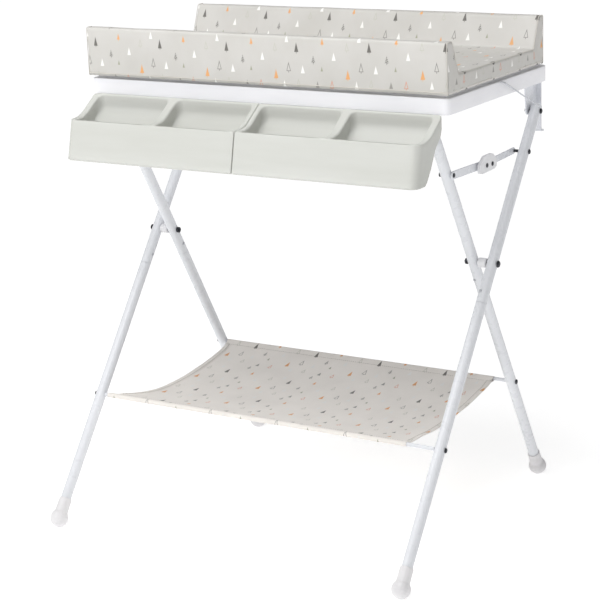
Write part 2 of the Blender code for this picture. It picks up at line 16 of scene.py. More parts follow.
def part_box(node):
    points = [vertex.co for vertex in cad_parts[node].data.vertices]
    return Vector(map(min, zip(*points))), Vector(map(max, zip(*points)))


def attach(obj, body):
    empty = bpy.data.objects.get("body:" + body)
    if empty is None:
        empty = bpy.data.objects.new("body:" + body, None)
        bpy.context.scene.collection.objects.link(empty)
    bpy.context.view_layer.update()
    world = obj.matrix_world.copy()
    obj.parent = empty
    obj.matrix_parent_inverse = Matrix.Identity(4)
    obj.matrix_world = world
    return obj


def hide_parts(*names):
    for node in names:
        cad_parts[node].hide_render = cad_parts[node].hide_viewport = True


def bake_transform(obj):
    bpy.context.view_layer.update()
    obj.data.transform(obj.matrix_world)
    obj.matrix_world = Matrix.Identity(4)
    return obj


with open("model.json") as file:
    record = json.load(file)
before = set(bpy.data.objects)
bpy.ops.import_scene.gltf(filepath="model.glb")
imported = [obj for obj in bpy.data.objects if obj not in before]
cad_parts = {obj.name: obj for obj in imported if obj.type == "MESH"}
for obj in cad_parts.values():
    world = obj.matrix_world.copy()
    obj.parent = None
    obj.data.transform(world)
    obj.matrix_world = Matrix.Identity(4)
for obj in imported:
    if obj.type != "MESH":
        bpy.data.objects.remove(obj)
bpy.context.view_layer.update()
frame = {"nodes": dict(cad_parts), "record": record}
scene = bpy.context.scene
SIDES = (("right", 1), ("left", -1))


# ---------------------------------------------------------------- node helpers
def lin(r, g, b):
    """An sRGB colour given as 0-255, as linear RGBA."""
    f = lambda c: c / 12.92 if c <= 0.04045 else ((c + 0.055) / 1.055) ** 2.4
    return (f(r / 255), f(g / 255), f(b / 255), 1.0)


def put(nt, socket, value):
    if isinstance(value, bpy.types.NodeSocket):
        nt.links.new(value, socket)
    elif value is not None:
        socket.default_value = value


def calc(nt, op, a, b=None, c=None, clamp=False):
    n = nt.nodes.new("ShaderNodeMath")
    n.operation, n.use_clamp = op, clamp
    for s, v in zip(n.inputs, (a, b, c)):
        put(nt, s, v)
    return n.outputs[0]


def vec(nt, op, a, b=None, c=None):
    n = nt.nodes.new("ShaderNodeVectorMath")
    n.operation = op
    for s, v in zip(n.inputs, (a, b, c)):
        put(nt, s, v)
    return n.outputs["Vector"]


def mix(nt, fac, a, b):
    n = nt.nodes.new("ShaderNodeMix")
    n.data_type = "RGBA"
    put(nt, n.inputs["Factor"], fac)
    put(nt, n.inputs[6], a)
    put(nt, n.inputs[7], b)
    return n.outputs[2]


def ramp(nt, value, lo, hi, to_lo=0.0, to_hi=1.0, smooth=False):
    n = nt.nodes.new("ShaderNodeMapRange")
    n.interpolation_type = "SMOOTHSTEP" if smooth else "LINEAR"
    for key, v in (("Value", value), ("From Min", lo), ("From Max", hi), ("To Min", to_lo), ("To Max", to_hi)):
        put(nt, n.inputs[key], v)
    return n.outputs["Result"]


def cloudy(nt, coord, scale, detail=3.0, rough=0.55):
    n = nt.nodes.new("ShaderNodeTexNoise")
    put(nt, n.inputs["Vector"], coord)
    n.inputs["Scale"].default_value = scale
    n.inputs["Detail"].default_value = detail
    n.inputs["Roughness"].default_value = rough
    return n.outputs["Fac"]


def bump(nt, height, distance, strength=1.0, normal=None):
    n = nt.nodes.new("ShaderNodeBump")
    n.inputs["Strength"].default_value = strength
    n.inputs["Distance"].default_value = distance
    put(nt, n.inputs["Height"], height)
    put(nt, n.inputs["Normal"], normal)
    return n.outputs["Normal"]


def new_material(name):
    m = bpy.data.materials.new(name)
    m.use_nodes = True
    nt = m.node_tree
    return m, nt, nt.nodes["Principled BSDF"]


def object_coord(nt):
    return nt.nodes.new("ShaderNodeTexCoord").outputs["Object"]


def uv_coord(nt, name):
    n = nt.nodes.new("ShaderNodeUVMap")
    n.uv_map = name
    return n.outputs["UV"]


# ---------------------------------------------------------------- print of small trees
TILE = (0.1546, 0.1210)
DARK, ORANGE, RUST = lin(104, 101, 97), lin(226, 166, 106), lin(216, 132, 92)
WHITE, GREEN, FAINT, GREY = lin(241, 240, 237), lin(158, 160, 138), lin(188, 189, 176), lin(150, 148, 143)
MOTIFS = [  # across, up, height, half width, kind, colour
    (0.000, -0.026, 0.0185, 0.0047, "solid", DARK),
    (0.056, -0.015, 0.0125, 0.0036, "solid", ORANGE),
    (0.036, -0.048, 0.0140, 0.0044, "zigzag", DARK),
    (0.054, -0.066, 0.0095, 0.0027, "solid", GREEN),
    (0.109, -0.076, 0.0180, 0.0049, "solid", ORANGE),
    (0.137, -0.062, 0.0180, 0.0050, "line", DARK),
    (0.080, -0.043, 0.0155, 0.0044, "solid", WHITE),
    (0.134, -0.010, 0.0145, 0.0041, "solid", WHITE),
    (0.013, -0.067, 0.0155, 0.0045, "solid", WHITE),
    (0.108, -0.025, 0.0155, 0.0046, "line", FAINT),
    (0.034, -0.113, 0.0125, 0.0043, "zigzag", DARK),
    (0.003, -0.091, 0.0150, 0.0045, "line", FAINT),
    (0.044, -0.095, 0.0130, 0.0041, "solid", GREY),
    (0.075, -0.094, 0.0150, 0.0046, "line", RUST),
    (0.127, -0.095, 0.0150, 0.0042, "solid", WHITE),
]


def print_group():
    """Node group that takes a flat position in metres and a ground colour, and gives the printed colour and the ink's coverage."""
    g = bpy.data.node_groups.new("tree_print", "ShaderNodeTree")
    g.interface.new_socket("Vector", in_out="INPUT", socket_type="NodeSocketVector")
    g.interface.new_socket("Ground", in_out="INPUT", socket_type="NodeSocketColor")
    g.interface.new_socket("Color", in_out="OUTPUT", socket_type="NodeSocketColor")
    g.interface.new_socket("Ink", in_out="OUTPUT", socket_type="NodeSocketFloat")
    inp, out = g.nodes.new("NodeGroupInput"), g.nodes.new("NodeGroupOutput")
    place, colour = inp.outputs["Vector"], inp.outputs["Ground"]
    half = (TILE[0] / 2, TILE[1] / 2, 1.0)
    ink = None
    for u, v, h, w, kind, tint in MOTIFS:
        q = vec(g, "WRAP", vec(g, "SUBTRACT", place, (u, v, 0.0)), half, tuple(-k for k in half))
        parts = g.nodes.new("ShaderNodeSeparateXYZ")
        g.links.new(q, parts.inputs[0])
        x, y = calc(g, "ABSOLUTE", parts.outputs[0]), parts.outputs[1]
        side = calc(g, "SUBTRACT", calc(g, "MULTIPLY_ADD", y, -w / h, w / 2), x)
        base = calc(g, "ADD", y, h / 2)
        d = calc(g, "SMOOTH_MIN", side, base, 0.0012)
        if kind == "line":
            d = calc(g, "SUBTRACT", 0.00062, calc(g, "ABSOLUTE", calc(g, "SUBTRACT", d, 0.0007)))
        elif kind == "zigzag":
            wave = calc(g, "SINE", calc(g, "MULTIPLY", calc(g, "MULTIPLY_ADD", parts.outputs[0], 0.55, y), 1900.0))
            d = calc(g, "MINIMUM", d, calc(g, "MULTIPLY_ADD", wave, 0.0009, 0.0003))
        if kind != "solid" or tint is DARK or tint is ORANGE:  # trunk
            stem = calc(g, "SUBTRACT", 0.0019, calc(g, "ABSOLUTE", calc(g, "ADD", base, 0.0008)))
            d = calc(g, "MAXIMUM", d, calc(g, "MINIMUM", stem, calc(g, "SUBTRACT", 0.00062, x)))
        cover = calc(g, "MULTIPLY_ADD", d, 1 / 0.0009, 0.35, clamp=True)
        colour = mix(g, cover, colour, tint)
        ink = cover if ink is None else calc(g, "MAXIMUM", ink, cover)
    g.links.new(colour, out.inputs["Color"])
    g.links.new(ink, out.inputs["Ink"])
    return g


PRINT = print_group()


def printed(nt, place, ground):
    n = nt.nodes.new("ShaderNodeGroup")
    n.node_tree = PRINT
    nt.links.new(place, n.inputs["Vector"])
    put(nt, n.inputs["Ground"], ground)
    return n.outputs["Color"], n.outputs["Ink"]


# ---------------------------------------------------------------- materials
def coated_fabric():
    """Soft vinyl cover: printed, finely embossed, a little wrinkled and rubbed."""
    m, nt, b = new_material("mat_vinyl")
    o, uv = object_coord(nt), uv_coord(nt, "flat")
    ground = mix(nt, ramp(nt, cloudy(nt, o, 9.0), 0.35, 0.65), lin(204, 202, 198), lin(197, 195, 190))
    colour, ink = printed(nt, uv, ground)
    colour = mix(nt, ramp(nt, cloudy(nt, o, 55.0, 4.0), 0.45, 0.8, 0.0, 0.10), colour, lin(190, 184, 174))
    nt.links.new(colour, b.inputs["Base Color"])
    grain = nt.nodes.new("ShaderNodeTexVoronoi")
    grain.feature = "DISTANCE_TO_EDGE"
    grain.inputs["Scale"].default_value = 950.0
    nt.links.new(o, grain.inputs["Vector"])
    fine = bump(nt, ramp(nt, grain.outputs["Distance"], 0.0, 0.35), 0.00009, 0.6)
    soft = bump(nt, cloudy(nt, o, 26.0, 2.0), 0.0012, 0.55, fine)
    nt.links.new(bump(nt, ink, 0.00006, 0.5, soft), b.inputs["Normal"])
    nt.links.new(ramp(nt, cloudy(nt, o, 140.0, 3.0), 0.3, 0.7, 0.40, 0.52), b.inputs["Roughness"])
    b.inputs["Specular IOR Level"].default_value = 0.42
    b.inputs["Coat Weight"].default_value = 0.05
    b.inputs["Coat Roughness"].default_value = 0.35
    return m


def vinyl_trim():
    m, nt, b = new_material("mat_trim")
    o = object_coord(nt)
    nt.links.new(mix(nt, cloudy(nt, o, 60.0), lin(212, 208, 201), lin(198, 194, 186)), b.inputs["Base Color"])
    nt.links.new(bump(nt, cloudy(nt, o, 700.0, 2.0), 0.00012, 0.6), b.inputs["Normal"])
    nt.links.new(ramp(nt, cloudy(nt, o, 90.0), 0.3, 0.7, 0.36, 0.5), b.inputs["Roughness"])
    return m


def woven_print():
    """Printed polyester of the shelf, with its plain weave."""
    m, nt, b = new_material("shelf_weave")
    o, uv = object_coord(nt), uv_coord(nt, "flat")
    ground = mix(nt, ramp(nt, cloudy(nt, o, 14.0), 0.35, 0.65), lin(246, 241, 235), lin(240, 235, 229))
    colour, ink = printed(nt, uv, ground)
    parts = nt.nodes.new("ShaderNodeSeparateXYZ")
    nt.links.new(uv, parts.inputs[0])
    warp = calc(nt, "SINE", calc(nt, "MULTIPLY", parts.outputs[0], 2 * math.pi / 0.0011))
    weft = calc(nt, "SINE", calc(nt, "MULTIPLY", parts.outputs[1], 2 * math.pi / 0.0011))
    over = calc(nt, "MULTIPLY", warp, weft)
    colour = mix(nt, ramp(nt, over, -1.0, 1.0, 0.0, 0.10), colour, lin(160, 156, 150))
    slub = nt.nodes.new("ShaderNodeMapping")
    slub.inputs["Scale"].default_value = (18.0, 900.0, 1.0)
    nt.links.new(uv, slub.inputs["Vector"])
    colour = mix(nt, ramp(nt, cloudy(nt, slub.outputs[0], 1.0, 2.0), 0.5, 0.8, 0.0, 0.12), colour, lin(226, 222, 217))
    nt.links.new(colour, b.inputs["Base Color"])
    nt.links.new(bump(nt, over, 0.00018, 0.8, bump(nt, cloudy(nt, o, 30.0, 2.0), 0.001, 0.4)), b.inputs["Normal"])
    nt.links.new(ramp(nt, cloudy(nt, o, 200.0), 0.3, 0.7, 0.72, 0.88), b.inputs["Roughness"])
    b.inputs["Sheen Weight"].default_value = 0.18
    b.inputs["Sheen Roughness"].default_value = 0.4
    return m


def thread():
    m, nt, b = new_material("shelf_thread")
    o = object_coord(nt)
    nt.links.new(mix(nt, cloudy(nt, o, 300.0), lin(182, 177, 170), lin(160, 155, 148)), b.inputs["Base Color"])
    nt.links.new(bump(nt, cloudy(nt, o, 2500.0, 2.0), 0.0001, 0.7), b.inputs["Normal"])
    nt.links.new(ramp(nt, cloudy(nt, o, 400.0), 0.3, 0.7, 0.6, 0.8), b.inputs["Roughness"])
    return m


def paint(name, colour, dull, r0=0.24, r1=0.36):
    """Powder coat: faint orange peel, a little dust and rubbing low down and along the tube."""
    m, nt, b = new_material(name)
    o = object_coord(nt)
    z = nt.nodes.new("ShaderNodeSeparateXYZ")
    nt.links.new(o, z.inputs[0])
    low = ramp(nt, z.outputs[2], 0.0, 0.16, 0.30, 0.0, smooth=True)
    smudge = calc(nt, "MULTIPLY", ramp(nt, cloudy(nt, o, 38.0, 5.0, 0.65), 0.42, 0.75), calc(nt, "ADD", low, 0.10))
    fleck = ramp(nt, cloudy(nt, o, 420.0, 2.0), 0.70, 0.76, 0.0, 0.08)
    base = mix(nt, smudge, colour, dull)
    nt.links.new(mix(nt, fleck, base, dull), b.inputs["Base Color"])
    peel = bump(nt, cloudy(nt, o, 620.0, 2.0), 0.00010, 0.5)
    nt.links.new(bump(nt, cloudy(nt, o, 45.0, 2.0), 0.0003, 0.15, peel), b.inputs["Normal"])
    nt.links.new(ramp(nt, cloudy(nt, o, 70.0, 4.0), 0.3, 0.7, r0, r1), b.inputs["Roughness"])
    b.inputs["Specular IOR Level"].default_value = 0.55
    return m


def plastic(name, colour, shade, r0, r1, grain=1300.0, depth=0.00008, level=0.5):
    """Moulded plastic: fine spark-eroded texture, faint flow marks and handling marks."""
    m, nt, b = new_material(name)
    o = object_coord(nt)
    flow = nt.nodes.new("ShaderNodeMapping")
    flow.inputs["Scale"].default_value = (3.0, 9.0, 22.0)
    nt.links.new(o, flow.inputs["Vector"])
    base = mix(nt, ramp(nt, cloudy(nt, flow.outputs[0], 1.0, 4.0), 0.35, 0.7), colour, shade)
    marks = ramp(nt, cloudy(nt, o, 95.0, 6.0, 0.7), 0.62, 0.78, 0.0, 0.22)
    nt.links.new(mix(nt, marks, base, shade), b.inputs["Base Color"])
    fine = bump(nt, cloudy(nt, o, grain, 3.0), depth, 0.6)
    nt.links.new(bump(nt, cloudy(nt, flow.outputs[0], 2.2, 2.0), 0.0010, 0.10, fine), b.inputs["Normal"])
    nt.links.new(ramp(nt, cloudy(nt, o, 160.0, 4.0), 0.3, 0.7, r0, r1), b.inputs["Roughness"])
    b.inputs["Specular IOR Level"].default_value = level
    return m


def metal(name, colour, dark, r0, r1):
    m, nt, b = new_material(name)
    o = object_coord(nt)
    nt.links.new(mix(nt, ramp(nt, cloudy(nt, o, 260.0, 4.0), 0.35, 0.7), colour, dark), b.inputs["Base Color"])
    b.inputs["Metallic"].default_value = 1.0
    nt.links.new(bump(nt, cloudy(nt, o, 1800.0, 2.0), 0.00006, 0.6), b.inputs["Normal"])
    nt.links.new(ramp(nt, cloudy(nt, o, 420.0, 3.0), 0.3, 0.7, r0, r1), b.inputs["Roughness"])
    return m


MAT_COVER, MAT_TRIM, SHELF_CLOTH, THREAD = coated_fabric(), vinyl_trim(), woven_print(), thread()
TUBE = paint("tube_paint", lin(220, 222, 226), lin(205, 206, 210))
PLATE = paint("plate_paint", lin(224, 226, 231), lin(198, 199, 204), 0.22, 0.32)
TOP = plastic("top_plastic", lin(243, 243, 246), lin(236, 236, 240), 0.34, 0.46)
BIN = plastic("bin_plastic", lin(200, 201, 196), lin(193, 194, 188), 0.38, 0.50)
FOOT = plastic("foot_plastic", lin(226, 225, 226), lin(212, 210, 212), 0.30, 0.42, 900.0)
SMALL = plastic("small_plastic", lin(232, 232, 234), lin(220, 220, 223), 0.36, 0.48)
BLACKENED = metal("dark_zinc", lin(74, 75, 80), lin(44, 45, 49), 0.30, 0.48)
ZINC = metal("bright_zinc", lin(206, 208, 212), lin(168, 170, 176), 0.22, 0.38)

SLOT_LOOK = {"white_tube": TUBE, "white_plate": PLATE, "top_plastic": TOP, "bin_plastic": BIN, "foot_plastic": FOOT, "white_plastic": SMALL,
             "dark_steel": BLACKENED, "bright_steel": ZINC, "mat_cover": MAT_TRIM, "shelf_cloth": THREAD}
for part in frame["record"]["subparts"]:
    node = frame["nodes"][part["node"]]
    if not node.material_slots:
        node.data.materials.append(None)
    for s in node.material_slots:
        s.material = SLOT_LOOK[part["material_slot"]]


# ---------------------------------------------------------------- mesh helpers
def rounded(points, radii, seg=4):
    """A closed polygon's points with each corner rounded by its radius."""
    out, n = [], len(points)
    for i, p in enumerate(points):
        r = radii[i] if isinstance(radii, (list, tuple)) else radii
        p = Vector(p)
        if r <= 0:
            out.append(tuple(p))
            continue
        u, v = (Vector(points[i - 1]) - p).normalized(), (Vector(points[(i + 1) % n]) - p).normalized()
        half = math.acos(max(-1.0, min(1.0, u.dot(v)))) / 2
        cut, centre = r / math.tan(half), p + (u + v).normalized() * (r / math.sin(half))
        a, b = p + u * cut - centre, p + v * cut - centre
        sweep = a.angle_signed(b)
        for k in range(seg + 1):
            t = -sweep * k / seg
            out.append(tuple(centre + Vector((a.x * math.cos(t) - a.y * math.sin(t), a.x * math.sin(t) + a.y * math.cos(t)))))
    return out


def make(name, verts, faces, look, weld=1e-6, uvs=None, sharp=None):
    mesh = bpy.data.meshes.new(name)
    mesh.from_pydata([tuple(v) for v in verts], [], [tuple(f) for f in faces])
    if uvs is not None:
        layer = mesh.uv_layers.new(name="flat")
        layer.data.foreach_set("uv", np.array(uvs, np.float32).ravel())
    bm = bmesh.new()
    bm.from_mesh(mesh)
    if weld:
        bmesh.ops.remove_doubles(bm, verts=bm.verts, dist=weld)
    bmesh.ops.dissolve_degenerate(bm, edges=bm.edges, dist=1e-7)
    loose = [v for v in bm.verts if not v.link_faces]
    bmesh.ops.delete(bm, geom=loose, context="VERTS")
    bmesh.ops.recalc_face_normals(bm, faces=bm.faces)
    bm.to_mesh(mesh)
    bm.free()
    mesh.materials.append(look)
    obj = bpy.data.objects.new(name, mesh)
    scene.collection.objects.link(obj)
    mesh.shade_smooth()
    if sharp:
        mesh.set_sharp_from_angle(angle=math.radians(sharp))
    return obj


def sweep(points, r, sides=8, closed=False):
    """Verts and faces of a round cord along points."""
    p = np.array(points, float)
    n = len(p)
    t = np.roll(p, -1, 0) - np.roll(p, 1, 0)
    if not closed:
        t[0], t[-1] = p[1] - p[0], p[-1] - p[-2]
    t /= np.linalg.norm(t, axis=1)[:, None]
    ref = np.array([0.0, 0.0, 1.0]) if abs(t[0][2]) < 0.8 else np.array([1.0, 0.0, 0.0])
    u = np.cross(t[0], ref)
    u /= np.linalg.norm(u)
    verts, faces = [], []
    for i in range(n):
        u = u - t[i] * (u @ t[i])
        u /= np.linalg.norm(u)
        w = np.cross(t[i], u)
        for k in range(sides):
            a = 2 * math.pi * k / sides
            verts.append(p[i] + r * (u * math.cos(a) + w * math.sin(a)))
    for i in range(n if closed else n - 1):
        for k in range(sides):
            a, b = i * sides, ((i + 1) % n) * sides
            faces.append((a + k, a + (k + 1) % sides, b + (k + 1) % sides, b + k))
    if not closed:
        faces.append(tuple(range(sides))[::-1])
        faces.append(tuple((n - 1) * sides + k for k in range(sides)))
    return verts, faces


def gather(groups):
    """Several (verts, faces) as one."""
    verts, faces = [], []
    for v, f in groups:
        base = len(verts)
        verts += list(v)
        faces += [tuple(i + base for i in q) for q in f]
    return verts, faces


# ---------------------------------------------------------------- padded mat
pad_lo, pad_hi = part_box("mat_pad")
wf_lo, wf_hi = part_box("mat_wedge_front")
wr_lo, wr_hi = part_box("mat_wedge_rear")
MX, MY0, MY1, MZ0, MZP, MZ1 = pad_hi.x, pad_lo.y, pad_hi.y, pad_lo.z, pad_hi.z, wf_hi.z
FRONT_BASE, REAR_BASE, BAND = wf_hi.y, wr_lo.y, 0.0230
IN = 0.0016  # the cover starts a little inside and the filling pushes it out


def drift(x):
    """The print rises a little along the mat, because the cover isn't cut quite square."""
    return float(np.interp(x, (-0.40, -0.22, -0.06, 0.09, 0.24, 0.40), (0.0, 0.001, 0.003, 0.007, 0.012, 0.020)))


def mat_profile():
    corners = [(MY0 + IN, MZ0 + 0.0004), (MY0 + IN, MZ1 - IN), (MY0 + BAND, MZ1 - IN), (FRONT_BASE, MZP), (REAR_BASE, MZP), (MY1 - BAND, MZ1 - IN), (MY1 - IN, MZ1 - IN), (MY1 - IN, MZ0 + 0.0004)]
    pts = rounded(corners, [0.004, 0.0045, 0.0075, 0.006, 0.006, 0.0075, 0.0045, 0.004], 4)
    chain, marks = [], []
    for i, (a, b) in enumerate(zip(pts, pts[1:])):
        a, b = np.array(a), np.array(b)
        n = max(1, round(np.linalg.norm(b - a) / 0.0105))
        for k in range(n):
            chain.append(a + (b - a) * k / n)
            marks.append(i // 5 if i % 5 != 4 else -1)  # number of the corner this point belongs to
    chain.append(np.array(pts[-1]))
    marks.append(7)
    return np.array(chain), marks


def build_mat():
    top, marks = mat_profile()
    n = len(top)
    step = np.linalg.norm(np.diff(top, axis=0), axis=1)
    arc = np.concatenate([[0], np.cumsum(step)])
    edge = arc[[i for i, m in enumerate(marks) if m == 1][2]]   # the top edge of the front side
    share = arc / arc[-1]
    y_b = (top[:, 0] - MY0) * 0.9 + share * (MY1 - MY0) * 0.1 + MY0
    y_b = np.interp(y_b, (y_b[0], y_b[-1]), (top[0, 0], top[-1, 0]))
    bottom = np.stack([y_b, np.full(n, top[0, 1])], 1)
    loop = np.concatenate([top, bottom[-2:0:-1]])
    m = len(loop)
    d = np.roll(loop, -1, 0) - np.roll(loop, 1, 0)
    out = np.stack([-d[:, 1], d[:, 0]], 1) / np.maximum(np.linalg.norm(d, axis=1), 1e-9)[:, None]
    r = 0.0042
    ends = [(1 - math.cos(a)) * r for a in (math.pi / 2, math.pi / 3, math.pi / 6, 0)]
    lift = [(1 - math.sin(a)) * r for a in (0, math.pi / 6, math.pi / 3, math.pi / 2)]
    x_end = MX - IN * 0.5
    xs = [(-x_end + (r - e), l) for e, l in zip(ends, lift[::-1])]
    xs = [(-x_end + r * (1 - math.sin(a)), r * (1 - math.cos(a))) for a in (math.pi / 2, math.pi / 3, math.pi / 6, 0)]
    inner = np.linspace(xs[-1][0], -xs[-1][0], 72)[1:-1]
    xs = xs + [(x, 0.0) for x in inner] + [(-x, i) for x, i in xs[::-1]]
    verts, uv_of = [], []
    for x, inset in xs:
        q = loop - out * inset
        q[:, 1] = np.maximum(q[:, 1], MZ0 + 0.0004)
        for y, z in q:
            verts.append((x, y, z))
    faces, uvs = [], []
    u_of = [x + 0.377 for x, _ in xs]
    v_loop = np.concatenate([arc - edge, (arc - edge)[-2:0:-1]])
    for j in range(len(xs) - 1):
        for i in range(m):
            k = (i + 1) % m
            faces.append((j * m + i, (j + 1) * m + i, (j + 1) * m + k, j * m + k))
            for jj, ii in ((j, i), (j + 1, i), (j + 1, k), (j, k)):
                uvs.append((u_of[jj], v_loop[ii] - drift(xs[jj][0])))
    rows = 7
    cap_edge = []
    for side in (-1, 1):
        j = 0 if side < 0 else len(xs) - 1
        base = j * m
        grid = [[base + i for i in range(n)]]
        t_row = np.array([verts[base + i] for i in range(n)])
        b_row = np.array([verts[base + (0 if i == 0 else n - 1 if i == n - 1 else 2 * n - 2 - i)] for i in range(n)])
        for k in range(1, rows):
            ids = []
            for i in range(n):
                if i in (0, n - 1):
                    ids.append(base + i)
                else:
                    ids.append(len(verts))
                    verts.append(tuple(t_row[i] + (b_row[i] - t_row[i]) * k / rows))
            grid.append(ids)
        grid.append([base + (0 if i == 0 else n - 1 if i == n - 1 else 2 * n - 2 - i) for i in range(n)])
        for a, b in zip(grid, grid[1:]):
            for i in range(n - 1):
                q = [a[i], a[i + 1], b[i + 1], b[i]]
                q = [v for p, v in enumerate(q) if v not in q[:p]]
                if len(q) < 3:
                    continue
                if side > 0:
                    q = q[::-1]
                faces.append(tuple(q))
                uvs += [(verts[v][1] + 0.31, verts[v][2] - MZ1 - 0.020) for v in q]
    pinned = [0.0] * len(verts)
    for j in range(len(xs)):
        for i in range(m):
            on_bottom = i >= n - 1 or i == 0
            seam = i < n and marks[i] in (0, 1, 3, 4, 6, 7)
            if on_bottom or seam or j < 2 or j > len(xs) - 3:
                pinned[j * m + i] = 1.0
    mesh = bpy.data.meshes.new("mat_cover")
    mesh.from_pydata(verts, [], faces)
    layer = mesh.uv_layers.new(name="flat")
    layer.data.foreach_set("uv", np.array(uvs, np.float32).ravel())
    mesh.materials.append(MAT_COVER)
    obj = bpy.data.objects.new("mat_cover", mesh)
    scene.collection.objects.link(obj)
    mesh.shade_smooth()
    bm = bmesh.new()
    bm.from_mesh(mesh)
    bmesh.ops.recalc_face_normals(bm, faces=bm.faces)
    bm.to_mesh(mesh)
    bm.free()
    group = obj.vertex_groups.new(name="seams")
    for w in (1.0,):
        group.add([i for i, p in enumerate(pinned) if p == w], w, "REPLACE")
    return obj, top, arc


def points_of(mesh):
    co = np.zeros(len(mesh.vertices) * 3, np.float32)
    mesh.vertices.foreach_get("co", co)
    return co.reshape(-1, 3).astype(float)


def set_points(mesh, co):
    mesh.vertices.foreach_set("co", co.astype(np.float32).ravel())
    mesh.update()


def inflate(obj, pressure=4.0, frames=20, cap=0.0035):
    """Cloth pressure from inside with the seams held; how far a point moves is capped."""
    rest = points_of(obj.data)
    c = obj.modifiers.new("fill", "CLOTH")
    s = c.settings
    s.quality = 5
    s.mass = 0.25
    s.tension_stiffness = s.compression_stiffness = 18.0
    s.shear_stiffness = 8.0
    s.bending_stiffness = 1.2
    s.use_pressure = True
    s.uniform_pressure_force = pressure
    s.vertex_group_mass = "seams"
    s.effector_weights.gravity = 0.0
    c.collision_settings.use_collision = False
    c.collision_settings.use_self_collision = False
    c.point_cache.frame_start, c.point_cache.frame_end = 1, frames
    for f in range(1, frames + 1):
        scene.frame_set(f)
    done = obj.evaluated_get(bpy.context.evaluated_depsgraph_get()).to_mesh()
    moved = points_of(done) - rest
    obj.evaluated_get(bpy.context.evaluated_depsgraph_get()).to_mesh_clear()
    obj.modifiers.remove(c)
    scene.frame_set(1)
    length = np.linalg.norm(moved, axis=1)
    keep = cap * (1 - np.exp(-length / cap)) / np.maximum(length, 1e-9)
    set_points(obj.data, rest + moved * keep[:, None])


def normals_of(mesh):
    n = np.zeros(len(mesh.vertices) * 3, np.float32)
    mesh.vertex_normals.foreach_get("vector", n)
    return n.reshape(-1, 3).astype(float)


mat, mat_top, mat_arc = build_mat()
inflate(mat)
co, nor = points_of(mat.data), normals_of(mat.data)
push = np.zeros(len(co))
for i, (x, y, z) in enumerate(co):
    end = MX - abs(x)
    crease = min(abs(y - FRONT_BASE), abs(y - REAR_BASE)) + abs(z - MZP)
    a = math.exp(-end / 0.030) * math.sin(y * 230 + 2.0 * math.sin(z * 70)) * 0.0007
    b = math.exp(-crease / 0.018) * math.sin(x * 95 + 3.0 * noise.noise(Vector((x * 6, y * 9, 1.7)))) * 0.0008
    c = noise.noise(Vector((x * 11, y * 16, z * 16 + 5))) * 0.0009
    d = noise.noise(Vector((x * 38, y * 38, z * 38))) * 0.0003
    push[i] = a + b + c + d
co += nor * push[:, None]
co[:, 2] = np.maximum(co[:, 2], MZ0 + 0.0003)
co[:, 1] = np.clip(co[:, 1], MY0 - 0.0012, MY1 + 0.0012)
set_points(mat.data, co)
s = mat.modifiers.new("smooth", "SUBSURF")
s.levels = s.render_levels = 1
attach(mat, "changing_mat")
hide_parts("mat_pad", "mat_wedge_front", "mat_wedge_rear")

# weld seams: a flange line round the foot of the cover, and one round each end panel
groups = []
zc = MZ0 + 0.0062
path = [(x, y, zc) for x, y in rounded([(-MX + 0.0012, MY0 + 0.0009), (MX - 0.0012, MY0 + 0.0009), (MX - 0.0012, MY1 - 0.0009), (-MX + 0.0012, MY1 - 0.0009)], 0.0045, 5)]
dense = []
for a, b in zip(path, path[1:] + path[:1]):
    a, b = Vector(a), Vector(b)
    k = max(1, round((b - a).length / 0.02))
    dense += [tuple(a.lerp(b, j / k)) for j in range(k)]
groups.append(sweep(dense, 0.0009, 8, closed=True))
for side in (-1, 1):
    ring = []
    for (y, z) in mat_top:
        ring.append((side * (MX - 0.0016), y + (0.0008 if y < MY0 + 0.01 else -0.0008 if y > MY1 - 0.01 else 0.0), max(z - 0.0002, MZ0 + 0.0016)))
    groups.append(sweep(ring, 0.0007, 8))
v, f = gather(groups)
welt = make("mat_welds", v, f, MAT_TRIM, weld=0)
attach(welt, "changing_mat")


# ---------------------------------------------------------------- fabric shelf
rod_f_lo, rod_f_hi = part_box("front_shelf_rod")
rod_r_lo, rod_r_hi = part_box("rear_shelf_rod")
yf, zf = (rod_f_lo.y + rod_f_hi.y) / 2, (rod_f_lo.z + rod_f_hi.z) / 2
yr, zr = (rod_r_lo.y + rod_r_hi.y) / 2, (rod_r_lo.z + rod_r_hi.z) / 2
ROD, CLOTH_T = (rod_f_hi.z - rod_f_lo.z) / 2, 0.0007
SAG, TAIL = 0.0205, 0.0150


def shelf_half(t, side):
    """How far the cloth reaches to one side, from the front rod (0) to the rear rod (1). Its left corners reach out along the rods."""
    if side > 0:
        return float(np.interp(t, (-1, 0.0, 0.1, 0.3, 0.55, 0.87, 1.0, 2), (0.3230, 0.3230, 0.3235, 0.3225, 0.3180, 0.3200, 0.3140, 0.3140)))
    return float(np.interp(t, (-1, 0.0, 0.05, 0.10, 0.16, 0.24, 0.53, 0.85, 0.93, 1.0, 2), (0.374, 0.374, 0.360, 0.344, 0.331, 0.3240, 0.3235, 0.3265, 0.331, 0.3385, 0.3385)))


